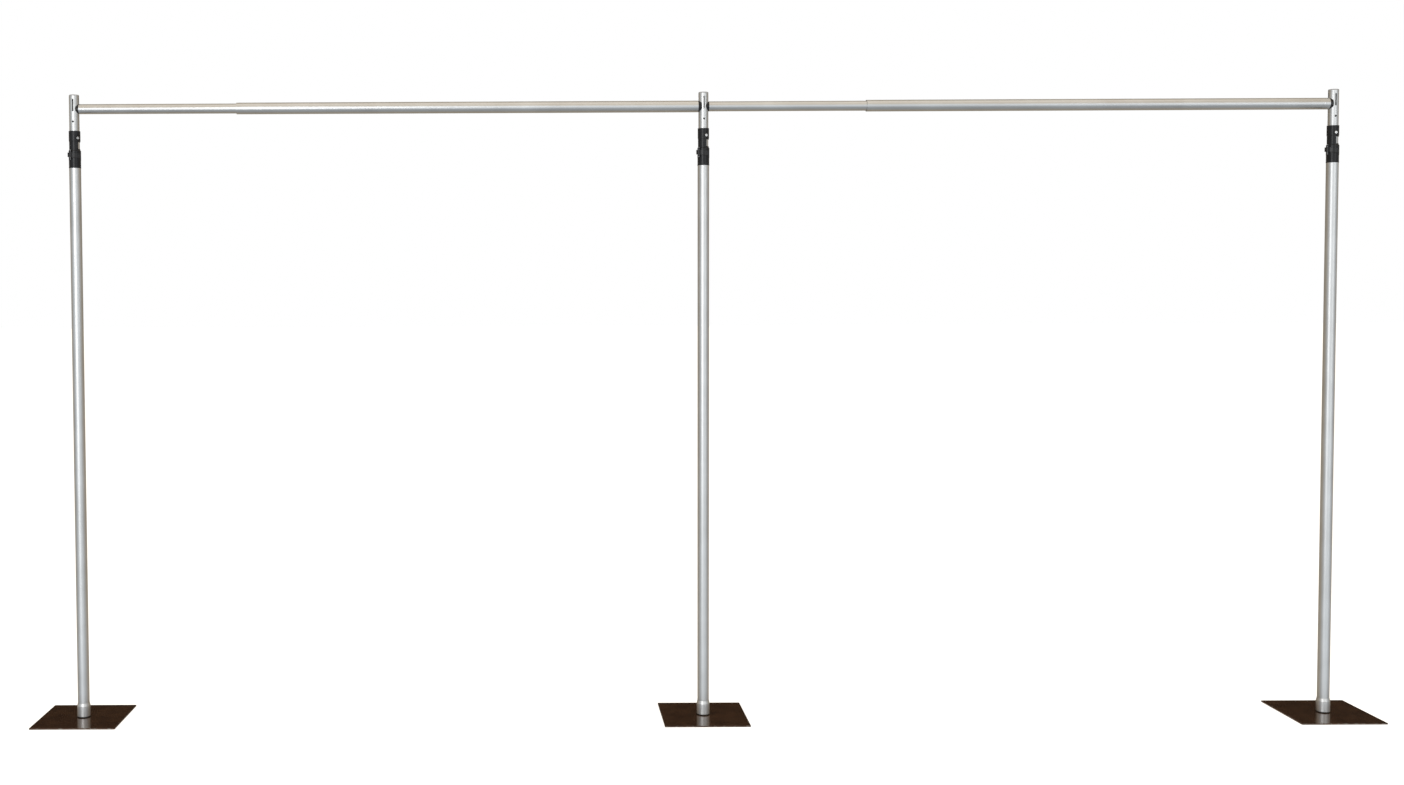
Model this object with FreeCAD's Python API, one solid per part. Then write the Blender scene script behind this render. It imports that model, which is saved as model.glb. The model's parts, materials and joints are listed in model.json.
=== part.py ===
# Two-bay background support: three telescopic posts on square base plates, joined by two telescopic crossbars.
#
# Frame: millimetres, +Z up, +X along the crossbars, -Y is the front. The origin is on the floor, on the axis
# of the centre post. A post is drawn on its own axis and then moved into place. A crossbar is drawn with the
# axis of the post at its thin end at x = 0, and then moved into place.
# Directions round a post are given as an azimuth in degrees, counted from the front (-Y) towards +X.
import FreeCAD, Part
import math
import os

V = FreeCAD.Vector
UP = V(0, 0, 1)

# ---- driving dimensions -------------------------------------------------------------------------------
POST_HEIGHT = 2440.0          # floor to the top of a post
POST_SPACING = 2440.0         # post axis to post axis

# tubes: every thin tube slides in a thick tube
THIN_OD = 38.1
TUBE_WALL = 1.65
TUBE_GAP = 1.525              # ring-shaped gap between a thin tube and the thick tube round it
THIN_POST_LENGTH = 1700.0     # the upper tube of a post
THIN_BAR_LENGTH = 1700.0      # the thin tube of a crossbar
THICK_BAR_LENGTH = 1788.0     # the thick tube of a crossbar

# base
PLATE_SIDE = 330.0
PLATE_THICKNESS = 5.0
PLATE_CORNER = 4.0
PLATE_EDGE = 0.6
SPIGOT_HEIGHT = 250.0
SPIGOT_WALL = 3.2
SPIGOT_FLOOR = 16.0
SPIGOT_LEAD = 5.0             # chamfer at the spigot's top
SPIGOT_PLAY = 0.375           # radial, spigot to thick tube
BOLT_RADIUS = 5.0
BOLT_HEAD_RADIUS = 8.75
BOLT_LENGTH = 17.0
BOLT_SOCKET_RADIUS = 3.5
BOLT_SOCKET_DEPTH = 2.2

# foot of a post
FOOT_RING_HEIGHT = 4.0
FOOT_RING_PLAY = 0.3          # radial, ring to spigot
FOOT_GAP = 0.1                # ring to plate
COLLAR_WALL = 3.2
COLLAR_HEIGHT = 40.0          # straight part
COLLAR_TAPER = 12.0           # tapered part above it

# head of a post
BARE_LENGTH = 140.0           # upper tube between lock and top
CAP_HEIGHT = 4.0
CAP_PLUG = 10.0
CAP_ROUND = 3.0
BAR_DROP = 55.0               # crossbar axis below the post's top
SLOT_PLAY = 1.2               # hook to slot, on each side
SLOT_SPARE = 16.7             # slot above the hook when it is lifted clear
SLOT_FLOOR_DROP = 9.0         # slot's floor below the crossbar axis
PIN_HOLE_RADIUS = 4.0
PIN_HOLE_DROP = 104.0         # below the post's top

# lock
LOCK_SKIRT = 35.0             # part of the lock inside the thick tube
LOCK_SLEEVE = 30.0
LOCK_BARREL = 38.0
LOCK_NECK = 36.0
LOCK_RING = 39.0
LOCK_PLAY = 0.3               # radial, lock to upper tube
SKIRT_PLAY = 0.1              # radial, skirt to thick tube
SLEEVE_LIP = 1.0              # sleeve beyond the thick tube
NECK_WALL = 1.4
RING_WALL = 2.45
LOCK_ROUND = 1.2
WINDOW_FROM, WINDOW_TO = 38.0, 200.0
WINDOW_MARGIN = 3.0
LOCK_TURN = {"left": 16.0, "centre": -8.0, "right": -30.0}   # azimuth that each lock faces

# flip lever of the lock, which turns on an upright pin
PIN_AZIMUTH = -38.0
PIN_RADIUS = 2.0
PIN_HEAD_RADIUS = 3.4
PIN_HEAD = 1.2
KNUCKLE_RADIUS = 5.0
CAM_THROW = 0.6
CAM_GAP = 0.4                 # between the knuckle and what is round it
KNUCKLE_HEIGHT = 21.0
KNUCKLE_RISE = 10.0           # knuckle's foot above the barrel's foot
LUG_HEIGHT = 6.2
LUG_GAP = 0.6
LEVER_GAP = 0.6               # arm to barrel
LEVER_THICKNESS = 2.8
LEVER_EDGE = 0.75             # arm's edges inside the knuckle's ends
LEVER_TO = 52.0               # azimuth of the arm's tip
LEVER_TILT = 7.0
LEVER_TIP_RADIUS = 3.2
LEVER_WALL_UNDER = 1.55       # lock wall left under the knuckle
SLIT_WIDTH = 2.4
SLIT_OFFSET = 7.0             # slit's near side from the pin, across the radius
PAD_DEPTH = 6.5
PAD_REACH = 4.0
PAD_ROOT = 3.5

# screw in the lock's top ring
SCREW_AZIMUTH = 27.0
SCREW_RISE = 11.0             # above the ring's foot
SCREW_RADIUS = 3.0
SCREW_HEAD_RADIUS = 5.2
SCREW_HEAD = 5.5
SCREW_SOCKET_RADIUS = 2.3
SCREW_SOCKET_DEPTH = 3.0
SCREW_BOSS_RADIUS = 6.2
SCREW_BOSS = 0.9
SCREW_TIP_GAP = 0.35

# bushes
BUSH_LENGTH = 30.0
BUSH_PLAY = 0.3               # radial, bush to the tube that slides on it
MOUTH_RECESS = 1.5            # mouth bush behind the thick tube's end

# crossbar ends
TUBE_SETBACK = 1.95           # tube's end from the post
NOSE_WRAP = 9.5               # how far the plug's nose wraps round the post
NOSE_LIP = 0.5                # nose inside the tube's outer radius
SADDLE_GAP = 0.4              # nose to post
PLUG_LENGTH = 45.0
PLUG_PLAY = 0.1
HOOK_THICKNESS = 3.2
HOOK_GAP = 0.5                # hook to the post's wall, both sides
HOOK_SEAT_GAP = 0.3           # hook to the slot's floor
HOOK_TOP = 10.0               # above the crossbar's axis
HOOK_LIP_WIDTH = 6.0
HOOK_LIP_DROP = 12.0          # lip below the hook's seat
HOOK_SHANK = 40.0             # hook's length inside the plug
HOOK_ROUND = 2.5
CROSS_PIN_RADIUS = 2.0
CROSS_PIN_INSET = 21.0        # from the tube's end
CROSS_PIN_PLAY = 0.1

# ---- derived dimensions -------------------------------------------------------------------------------
THIN_R = THIN_OD / 2
THIN_BORE = THIN_R - TUBE_WALL
THICK_BORE = THIN_R + TUBE_GAP
THICK_R = THICK_BORE + TUBE_WALL
SPIGOT_R = THICK_BORE - SPIGOT_PLAY
TUBE_END = THIN_R + TUBE_SETBACK
NOSE_END = THIN_R - NOSE_WRAP
CROSS_PIN_PLACE = TUBE_END + CROSS_PIN_INSET
BAR_Z = POST_HEIGHT - BAR_DROP
SLOT_FLOOR = BAR_Z - SLOT_FLOOR_DROP
SLOT_WIDTH = HOOK_THICKNESS + 2 * SLOT_PLAY
SLOT_HEIGHT = SLOT_FLOOR_DROP + HOOK_TOP + HOOK_LIP_DROP + SLOT_SPARE
HOOK_SEAT = SLOT_FLOOR + HOOK_SEAT_GAP
HOOK_HEEL = HOOK_SEAT - HOOK_LIP_DROP / 2

FOOT_Z = PLATE_THICKNESS + FOOT_GAP
THICK_POST_FOOT = FOOT_Z + FOOT_RING_HEIGHT
LOCK_HEIGHT = LOCK_SLEEVE + LOCK_BARREL + LOCK_NECK + LOCK_RING
LOCK_Z = POST_HEIGHT - BARE_LENGTH - LOCK_HEIGHT
BARREL_Z = LOCK_Z + LOCK_SLEEVE
NECK_Z = BARREL_Z + LOCK_BARREL
RING_Z = NECK_Z + LOCK_NECK
LOCK_TOP = RING_Z + LOCK_RING
LOCK_BORE = THIN_R + LOCK_PLAY
SLEEVE_R = THICK_R + SLEEVE_LIP
NECK_R = LOCK_BORE + NECK_WALL
RING_R = LOCK_BORE + RING_WALL

KNUCKLE_Z = BARREL_Z + KNUCKLE_RISE
KNUCKLE_TOP = KNUCKLE_Z + KNUCKLE_HEIGHT
LEVER_Z = (KNUCKLE_Z + KNUCKLE_TOP) / 2
LEVER_WIDTH = KNUCKLE_HEIGHT - 2 * LEVER_EDGE
KNUCKLE_SWING = KNUCKLE_RADIUS + CAM_THROW + CAM_GAP
PIN_PLACE = LOCK_BORE + LEVER_WALL_UNDER + KNUCKLE_SWING
LEVER_IN = SLEEVE_R + LEVER_GAP
LEVER_OUT = LEVER_IN + LEVER_THICKNESS
SCREW_Z = RING_Z + SCREW_RISE

POSTS = {"left": -POST_SPACING, "centre": 0.0, "right": POST_SPACING}
BARS = {"left": -POST_SPACING, "right": 0.0}
LOCK_PIECES = ("lock_body", "lock_lever", "lever_pin", "drag_screw")


# ---- helpers ------------------------------------------------------------------------------------------
def cylinder(radius, low, high):
    """A cylinder on the Z axis."""
    return Part.makeCylinder(radius, high - low, V(0, 0, low))


def pipe(outer, inner, low, high):
    """A straight tube on the Z axis."""
    return cylinder(outer, low, high).cut(cylinder(inner, low - 1, high + 1))


def turned(outline):
    """A solid of revolution about Z, from (radius, height) points."""
    points = [V(r, 0, z) for r, z in outline]
    return Part.Face(Part.makePolygon(points + points[:1])).revolve(V(0, 0, 0), UP, 360)


def block(x, y, z):
    """A box from three (low, high) pairs."""
    return Part.makeBox(x[1] - x[0], y[1] - y[0], z[1] - z[0], V(x[0], y[0], z[0]))


def around(shape, azimuth):
    """Turns a shape drawn outwards along +X so that it faces an azimuth."""
    return shape.rotated(V(0, 0, 0), UP, azimuth - 90)


def outwards(radius, length, start, height):
    """A cylinder that points away from the Z axis along +X."""
    return Part.makeCylinder(radius, length, V(start, 0, height), V(1, 0, 0))


def sector(radius, low, high, first, last):
    """A wedge of a cylinder between two azimuths."""
    return around(Part.makeCylinder(radius, high - low, V(0, 0, low), UP, last - first), first)


def along_x(shape):
    """Lays a shape drawn along Z down along +X, at the height of the crossbars."""
    laid = shape.rotated(V(0, 0, 0), V(0, 1, 0), 90)
    return laid.translated(V(0, 0, BAR_Z))


# ---- base ---------------------------------------------------------------------------------------------
def base_plate():
    """Square steel plate with a countersunk hole for the spigot's bolt."""
    half = PLATE_SIDE / 2
    plate = block((-half, half), (-half, half), (0, PLATE_THICKNESS))
    corners = [e for e in plate.Edges if abs(e.BoundBox.ZLength - PLATE_THICKNESS) < 1e-6]
    plate = plate.makeFillet(PLATE_CORNER, corners)
    rim = [e for e in plate.Edges if e.BoundBox.ZLength < 1e-6]
    plate = plate.makeChamfer(PLATE_EDGE, rim)
    return plate.cut(bolt_shape(0.1))


def bolt_shape(play):
    """The countersunk bolt's outline, grown by a clearance. It points up from the floor."""
    head = BOLT_HEAD_RADIUS + play
    shank = BOLT_RADIUS + play
    sink = 0.3 - play
    return turned([(0, sink), (head, sink), (head, 0.8), (shank, 0.8 + head - shank),
                   (shank, BOLT_LENGTH + play), (0, BOLT_LENGTH + play)])


def spigot_bolt():
    """Countersunk bolt with a hexagon socket."""
    corners = [V(BOLT_SOCKET_RADIUS * math.cos(math.radians(a)), BOLT_SOCKET_RADIUS * math.sin(math.radians(a)), 0)
               for a in range(0, 360, 60)]
    hexagon = Part.Face(Part.makePolygon(corners + corners[:1]))
    return bolt_shape(0).cut(hexagon.extrude(V(0, 0, 0.3 + BOLT_SOCKET_DEPTH)))


def spigot():
    """Steel tube with a thick floor, bolted to the plate. The post drops over it."""
    low = PLATE_THICKNESS
    top = low + SPIGOT_HEIGHT
    bore = SPIGOT_R - SPIGOT_WALL
    shell = turned([(0, low), (SPIGOT_R, low), (SPIGOT_R, top - SPIGOT_LEAD),
                    (SPIGOT_R - SPIGOT_LEAD / 2, top), (bore, top), (bore, low + SPIGOT_FLOOR),
                    (0, low + SPIGOT_FLOOR)])
    return shell.cut(bolt_shape(0.1))


# ---- foot and tubes of a post -------------------------------------------------------------------------
def foot_ring():
    """Black ring that the post stands on."""
    return turned([(SPIGOT_R + FOOT_RING_PLAY, FOOT_Z), (THICK_R + COLLAR_WALL - 0.6, FOOT_Z),
                   (THICK_R + COLLAR_WALL - 0.2, FOOT_Z + 0.4),
                   (THICK_R + COLLAR_WALL - 0.2, THICK_POST_FOOT), (SPIGOT_R + FOOT_RING_PLAY, THICK_POST_FOOT)])


def foot_collar():
    """Aluminium collar round the bottom of the thick tube."""
    outer = THICK_R + COLLAR_WALL
    shoulder = THICK_POST_FOOT + COLLAR_HEIGHT
    return turned([(THICK_R, THICK_POST_FOOT), (outer - 0.5, THICK_POST_FOOT), (outer, THICK_POST_FOOT + 0.5),
                   (outer, shoulder), (THICK_R + 0.4, shoulder + COLLAR_TAPER), (THICK_R, shoulder + COLLAR_TAPER)])


def lower_tube():
    """Thick tube of a post, from its foot ring to the lock."""
    return pipe(THICK_R, THICK_BORE, THICK_POST_FOOT, LOCK_Z)


def hook_slot(azimuth):
    """Slot with a flat floor and a round top, through one wall of the upper tube."""
    half = SLOT_WIDTH / 2
    shoulder = SLOT_FLOOR + SLOT_HEIGHT - half
    start = THIN_BORE / 2
    straight = block((start, start + THIN_R), (-half, half), (SLOT_FLOOR, shoulder))
    return around(straight.fuse(outwards(half, THIN_R, start, shoulder)), azimuth)


def upper_tube():
    """Thin tube of a post, with four hook slots and a cross hole for a pin."""
    top = POST_HEIGHT - CAP_HEIGHT
    tube = pipe(THIN_R, THIN_BORE, top + CAP_HEIGHT - THIN_POST_LENGTH, top)
    for azimuth in (0, 90, 180, 270):
        tube = tube.cut(hook_slot(azimuth))
    hole = outwards(PIN_HOLE_RADIUS, 2 * THIN_OD, -THIN_OD, POST_HEIGHT - PIN_HOLE_DROP)
    return tube.cut(around(hole, 0))


def guide_bush():
    """Nylon sleeve round the bottom of the upper tube. It slides in the lower tube."""
    low = POST_HEIGHT - THIN_POST_LENGTH
    return pipe(THICK_BORE - BUSH_PLAY, THIN_R, low, low + BUSH_LENGTH)


def top_cap():
    """Plug in the top of the upper tube, with a rounded rim."""
    top = POST_HEIGHT
    seat = top - CAP_HEIGHT
    bore = THIN_BORE - PLUG_PLAY
    cap = turned([(0, seat - CAP_PLUG), (bore - 1, seat - CAP_PLUG), (bore, seat - CAP_PLUG + 1), (bore, seat),
                  (THIN_R, seat), (THIN_R, top), (0, top)])
    rim = [e for e in cap.Edges if abs(e.BoundBox.ZMin - top) < 1e-6 and e.BoundBox.XLength > THIN_OD - 1]
    return cap.makeFillet(min(CAP_ROUND, CAP_HEIGHT * 0.9), rim)


# ---- lock ---------------------------------------------------------------------------------------------
def at_pin(shape):
    """Moves a shape drawn with x = radius and y = across, to the azimuth of the lever's pin."""
    return around(shape, PIN_AZIMUTH)


def lock_lug(low, high):
    """Lug that carries one end of the lever's pin."""
    web = block((LOCK_BORE, PIN_PLACE), (-KNUCKLE_RADIUS, KNUCKLE_RADIUS), (low, high))
    eye = cylinder(KNUCKLE_RADIUS, low, high).translated(V(PIN_PLACE, 0, 0))
    return at_pin(web.fuse(eye))


def lock_pad():
    """Ear on the far side of the slit, which the lever's cam pushes."""
    near = -KNUCKLE_SWING
    low, high = KNUCKLE_Z + 2, KNUCKLE_TOP - 2
    start = SLEEVE_R + LEVER_GAP + 0.2
    head = block((start, start + PAD_REACH), (near - PAD_DEPTH, near), (low, high))
    root = block((LOCK_BORE - 1, start + 1), (near - PAD_DEPTH, near - PAD_DEPTH + PAD_ROOT), (low, high))
    return at_pin(head.fuse(root))


def lock_body():
    """Nylon lock: a skirt in the thick tube, a sleeve, a split barrel under the lever, a neck and a top ring."""
    r = LOCK_ROUND
    skirt = THICK_BORE - SKIRT_PLAY
    body = turned([(LOCK_BORE, LOCK_Z - LOCK_SKIRT), (skirt - 0.5, LOCK_Z - LOCK_SKIRT),
                   (skirt, LOCK_Z - LOCK_SKIRT + 1), (skirt, LOCK_Z), (SLEEVE_R - 0.4, LOCK_Z),
                   (SLEEVE_R, LOCK_Z + 0.4), (SLEEVE_R, NECK_Z - r), (SLEEVE_R - r, NECK_Z),
                   (NECK_R, NECK_Z + SLEEVE_R - r - NECK_R), (NECK_R, RING_Z - RING_R + NECK_R),
                   (RING_R, RING_Z), (RING_R, LOCK_TOP - r), (RING_R - r, LOCK_TOP), (LOCK_BORE, LOCK_TOP)])
    bore = cylinder(LOCK_BORE, LOCK_Z - LOCK_SKIRT - 1, LOCK_TOP + 1)
    lugs = lock_lug(KNUCKLE_Z - LUG_GAP - LUG_HEIGHT, KNUCKLE_Z - LUG_GAP)
    lugs = lugs.fuse(lock_lug(KNUCKLE_TOP + LUG_GAP, KNUCKLE_TOP + LUG_GAP + LUG_HEIGHT))
    body = body.fuse(lugs).fuse(lock_pad())
    boss = outwards(SCREW_BOSS_RADIUS, RING_R + SCREW_BOSS - LOCK_BORE, LOCK_BORE, SCREW_Z)
    body = body.fuse(around(boss, SCREW_AZIMUTH)).cut(bore)

    pocket = cylinder(KNUCKLE_SWING, KNUCKLE_Z - LUG_GAP, KNUCKLE_TOP + LUG_GAP).translated(V(PIN_PLACE, 0, 0))
    slit_side = -SLIT_OFFSET - SLIT_WIDTH
    slit = block((LOCK_BORE / 2, SLEEVE_R + LEVER_GAP), (slit_side, -SLIT_OFFSET), (BARREL_Z, RING_Z - WINDOW_MARGIN))
    pin_hole = cylinder(PIN_RADIUS, KNUCKLE_Z - LUG_GAP - LUG_HEIGHT - 1, KNUCKLE_TOP + LUG_GAP + LUG_HEIGHT + 1)
    window = sector(SLEEVE_R + 1, NECK_Z + SLEEVE_R - NECK_R + WINDOW_MARGIN,
                    RING_Z - RING_R + NECK_R - WINDOW_MARGIN, WINDOW_FROM, WINDOW_TO)
    screw_hole = outwards(SCREW_RADIUS + 0.1, RING_R, LOCK_BORE / 2, SCREW_Z)
    for tool in (at_pin(pocket), at_pin(slit), at_pin(pin_hole.translated(V(PIN_PLACE, 0, 0))), window,
                 around(screw_hole, SCREW_AZIMUTH)):
        body = body.cut(tool)
    return body


def lever_pin():
    """Headed pin through the two lugs and the lever's knuckle."""
    low = KNUCKLE_Z - LUG_GAP - LUG_HEIGHT
    high = KNUCKLE_TOP + LUG_GAP + LUG_HEIGHT
    pin = turned([(0, low - PIN_HEAD), (PIN_HEAD_RADIUS - 0.5, low - PIN_HEAD), (PIN_HEAD_RADIUS, low - 0.5),
                  (PIN_HEAD_RADIUS, low), (PIN_RADIUS, low), (PIN_RADIUS, high), (PIN_HEAD_RADIUS, high),
                  (PIN_HEAD_RADIUS, high + 0.5), (PIN_HEAD_RADIUS - 0.5, high + PIN_HEAD), (0, high + PIN_HEAD)])
    return at_pin(pin.translated(V(PIN_PLACE, 0, 0)))


def lock_lever():
    """Lever with a cam at its knuckle and an arm that wraps round the front of the lock."""
    low, high = KNUCKLE_Z, KNUCKLE_TOP
    band = sector(LEVER_OUT, low - LEVER_WIDTH, high + LEVER_WIDTH, PIN_AZIMUTH, LEVER_TO)
    band = band.cut(cylinder(LEVER_IN, low - LEVER_WIDTH - 1, high + LEVER_WIDTH + 1))
    tip_place = LEVER_OUT - LEVER_TIP_RADIUS + 1.2
    tip = cylinder(LEVER_TIP_RADIUS, low - LEVER_WIDTH, high + LEVER_WIDTH).translated(V(tip_place, 0, 0))
    tip = around(tip, LEVER_TO).cut(cylinder(LEVER_IN, low - LEVER_WIDTH - 1, high + LEVER_WIDTH + 1))
    slab = block((-2 * LEVER_OUT, 2 * LEVER_OUT), (-2 * LEVER_OUT, 2 * LEVER_OUT),
                 (LEVER_Z - LEVER_WIDTH / 2, LEVER_Z + LEVER_WIDTH / 2))
    middle = V(PIN_PLACE * math.sin(math.radians(PIN_AZIMUTH)), 0, LEVER_Z)
    slab = slab.rotated(middle, V(0, 1, 0), LEVER_TILT)
    arm = band.fuse(tip).common(slab)
    knuckle = cylinder(KNUCKLE_RADIUS, low, high).translated(V(PIN_PLACE, -CAM_THROW, 0))
    hole = cylinder(PIN_RADIUS + 0.1, low - 1, high + 1).translated(V(PIN_PLACE, 0, 0))
    return arm.fuse(at_pin(knuckle)).cut(at_pin(hole)).removeSplitter()


def drag_screw():
    """Socket-head screw in the lock's top ring."""
    seat = RING_R + SCREW_BOSS
    tip = THIN_R + SCREW_TIP_GAP
    head = outwards(SCREW_HEAD_RADIUS, SCREW_HEAD, seat, SCREW_Z)
    rim = [e for e in head.Edges if abs(e.BoundBox.XMin - seat - SCREW_HEAD) < 1e-6]
    head = head.makeFillet(0.8, rim)
    head = head.cut(outwards(SCREW_SOCKET_RADIUS, SCREW_HEAD, seat + SCREW_HEAD - SCREW_SOCKET_DEPTH, SCREW_Z))
    return around(head.fuse(outwards(SCREW_RADIUS, seat - tip + 1, tip, SCREW_Z)), SCREW_AZIMUTH)


# ---- crossbars ----------------------------------------------------------------------------------------
def cross_hole(radius, half_length):
    """Cylinder across a crossbar, where its pin goes."""
    return Part.makeCylinder(radius, 2 * half_length, V(CROSS_PIN_PLACE, -half_length, BAR_Z), V(0, 1, 0))


def end_plug(tube_radius):
    """Plug in a crossbar's end, hollowed to sit round the post, with a pocket for the hook. The post is at x = 0."""
    bore = tube_radius - TUBE_WALL - PLUG_PLAY
    nose = tube_radius - NOSE_LIP
    plug = turned([(0, NOSE_END), (nose, NOSE_END), (nose, TUBE_END), (bore, TUBE_END),
                   (bore, TUBE_END + PLUG_LENGTH - 1), (bore - 1, TUBE_END + PLUG_LENGTH),
                   (0, TUBE_END + PLUG_LENGTH)])
    plug = along_x(plug)
    post = cylinder(THIN_R + SADDLE_GAP, BAR_Z - THIN_OD, BAR_Z + THIN_OD)
    half = HOOK_THICKNESS / 2
    pocket = block((0, TUBE_END + HOOK_SHANK), (-half, half), (HOOK_HEEL, BAR_Z + HOOK_TOP))
    pin = cross_hole(CROSS_PIN_RADIUS + CROSS_PIN_PLAY, THICK_R)
    return plug.cut(post).cut(pocket).cut(pin)


def end_hook():
    """Flat steel hook. Its lip hangs inside the post, behind the slot's floor."""
    half = HOOK_THICKNESS / 2
    top = BAR_Z + HOOK_TOP
    inner = math.sqrt(THIN_BORE ** 2 - half ** 2) - HOOK_GAP
    outer = THIN_R + HOOK_GAP
    back = inner - HOOK_LIP_WIDTH
    tip = HOOK_SEAT - HOOK_LIP_DROP
    end = TUBE_END + HOOK_SHANK
    outline = [(back, top - HOOK_ROUND), (back + HOOK_ROUND, top), (end, top), (end, HOOK_HEEL), (outer, HOOK_HEEL),
               (outer, HOOK_SEAT), (inner, HOOK_SEAT), (inner, tip + HOOK_ROUND / 2), (inner - HOOK_ROUND / 2, tip),
               (back + HOOK_ROUND, tip), (back, tip + HOOK_ROUND)]
    points = [V(x, -half, z) for x, z in outline]
    hook = Part.Face(Part.makePolygon(points + points[:1])).extrude(V(0, HOOK_THICKNESS, 0))
    return hook.cut(cross_hole(CROSS_PIN_RADIUS + CROSS_PIN_PLAY, THICK_R))


def cross_pin(tube_radius):
    """Pin across a crossbar's end that holds the tube, its plug and its hook together."""
    flush = math.sqrt(tube_radius ** 2 - CROSS_PIN_RADIUS ** 2)
    return cross_hole(CROSS_PIN_RADIUS, flush)


def bar_tube(tube_radius, length):
    """Crossbar tube with its pinned end at the post at x = 0."""
    tube = along_x(pipe(tube_radius, tube_radius - TUBE_WALL, TUBE_END, TUBE_END + length))
    return tube.cut(cross_hole(CROSS_PIN_RADIUS + CROSS_PIN_PLAY, 2 * tube_radius))


def mouth_bush():
    """Nylon sleeve in the mouth of the thick tube. The thin tube slides in it."""
    end = TUBE_END + THICK_BAR_LENGTH - MOUTH_RECESS
    return along_x(pipe(THICK_BORE, THIN_R + BUSH_PLAY, end - BUSH_LENGTH, end))


def tail_bush():
    """Nylon sleeve round the hidden end of the thin tube. It slides in the thick tube."""
    end = TUBE_END + THIN_BAR_LENGTH
    return along_x(pipe(THICK_BORE - BUSH_PLAY, THIN_R, end - BUSH_LENGTH, end))


def at_far_post(shape):
    """Turns a crossbar end round, so that it hangs on the post at x = POST_SPACING."""
    return shape.rotated(V(0, 0, 0), UP, 180).translated(V(POST_SPACING, 0, 0))


# ---- assembly -----------------------------------------------------------------------------------------
def post_pieces():
    """Every piece of one post, on its own axis."""
    return {
        "base_plate": base_plate(),
        "spigot": spigot(),
        "spigot_bolt": spigot_bolt(),
        "foot_ring": foot_ring(),
        "foot_collar": foot_collar(),
        "lower_tube": lower_tube(),
        "upper_tube": upper_tube(),
        "guide_bush": guide_bush(),
        "top_cap": top_cap(),
        "lock_body": lock_body(),
        "lock_lever": lock_lever(),
        "lever_pin": lever_pin(),
        "drag_screw": drag_screw(),
    }


def bar_pieces():
    """Every piece of one crossbar. Its thin tube hangs on the post at x = 0."""
    return {
        "bar_thin_tube": bar_tube(THIN_R, THIN_BAR_LENGTH),
        "bar_thin_plug": end_plug(THIN_R),
        "bar_thin_hook": end_hook(),
        "bar_thin_pin": cross_pin(THIN_R),
        "bar_tail_bush": tail_bush(),
        "bar_thick_tube": at_far_post(bar_tube(THICK_R, THICK_BAR_LENGTH)),
        "bar_thick_plug": at_far_post(end_plug(THICK_R)),
        "bar_thick_hook": at_far_post(end_hook()),
        "bar_thick_pin": at_far_post(cross_pin(THICK_R)),
        "bar_mouth_bush": at_far_post(mouth_bush()),
    }


def write(name, shape):
    """Writes one sub-part to its STEP file, after checking that it is sound."""
    if not shape.isValid() or len(shape.Solids) != 1:
        raise RuntimeError(name + " is not one valid solid")
    shape.Solids[0].exportStep(os.path.join("parts", name + ".step"))


def main():
    """Places every piece and writes it out."""
    os.makedirs("parts", exist_ok=True)
    for pieces, places in ((post_pieces(), POSTS), (bar_pieces(), BARS)):
        for side, x in places.items():
            for name, shape in pieces.items():
                turn = LOCK_TURN[side] if name in LOCK_PIECES else 0
                write(side + "_" + name, shape.rotated(V(0, 0, 0), UP, turn).translated(V(x, 0, 0)))


main()
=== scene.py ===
# %% [markdown]
# # A two-bay background support
#
# Three telescopic posts stand on square steel plates, and two telescopic crossbars hook into slots near their
# tops. The bodies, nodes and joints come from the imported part. This file gives each of them its finish, and
# models again, in finer detail, the pieces whose moulded or turned shape a plain solid only hints at.

# %% Load the frame
import json
import math

import bmesh
import bpy
from mathutils import Matrix, Vector

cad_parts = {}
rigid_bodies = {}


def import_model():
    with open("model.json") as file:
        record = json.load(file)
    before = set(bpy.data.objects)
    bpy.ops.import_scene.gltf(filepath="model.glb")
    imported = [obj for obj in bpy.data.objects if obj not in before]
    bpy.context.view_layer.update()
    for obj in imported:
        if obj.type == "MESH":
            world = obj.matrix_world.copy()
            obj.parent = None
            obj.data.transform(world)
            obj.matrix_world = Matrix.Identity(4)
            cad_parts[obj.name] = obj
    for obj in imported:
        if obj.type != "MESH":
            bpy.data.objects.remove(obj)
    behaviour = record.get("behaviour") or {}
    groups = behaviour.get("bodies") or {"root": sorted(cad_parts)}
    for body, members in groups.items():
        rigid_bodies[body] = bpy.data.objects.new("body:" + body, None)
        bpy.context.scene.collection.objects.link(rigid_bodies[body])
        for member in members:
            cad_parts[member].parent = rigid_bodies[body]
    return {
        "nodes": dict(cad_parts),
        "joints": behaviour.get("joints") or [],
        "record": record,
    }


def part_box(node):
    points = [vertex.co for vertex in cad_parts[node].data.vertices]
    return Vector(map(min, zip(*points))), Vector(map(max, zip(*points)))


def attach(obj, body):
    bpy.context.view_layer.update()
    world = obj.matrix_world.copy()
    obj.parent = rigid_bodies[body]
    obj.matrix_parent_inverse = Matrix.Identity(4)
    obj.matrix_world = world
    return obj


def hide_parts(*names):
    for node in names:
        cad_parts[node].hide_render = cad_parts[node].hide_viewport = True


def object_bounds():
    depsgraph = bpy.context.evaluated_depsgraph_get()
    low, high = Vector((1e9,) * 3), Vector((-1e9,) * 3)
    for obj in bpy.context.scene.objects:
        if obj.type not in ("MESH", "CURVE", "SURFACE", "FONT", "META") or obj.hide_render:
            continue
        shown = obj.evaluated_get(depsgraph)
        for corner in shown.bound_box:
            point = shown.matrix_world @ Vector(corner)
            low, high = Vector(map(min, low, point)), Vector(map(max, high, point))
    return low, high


for spare in list(bpy.data.objects):
    bpy.data.objects.remove(spare)
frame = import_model()
cad_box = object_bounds()
print("CAD box", [round(value, 3) for corner in cad_box for value in corner])

# %% [markdown]
# ## Where things stand
#
# Every place is read from the frame, so nothing has to be fitted by eye. A post's axis is the middle of its
# lower tube, and a crossbar's axis is the middle of its thick tube.

# %% Read the places
SIDES = ("left", "centre", "right")
BAYS = ("left", "right")


def middle(node):
    """The centre of a node's box."""
    low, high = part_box(node)
    return (Vector(low) + Vector(high)) / 2


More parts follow.
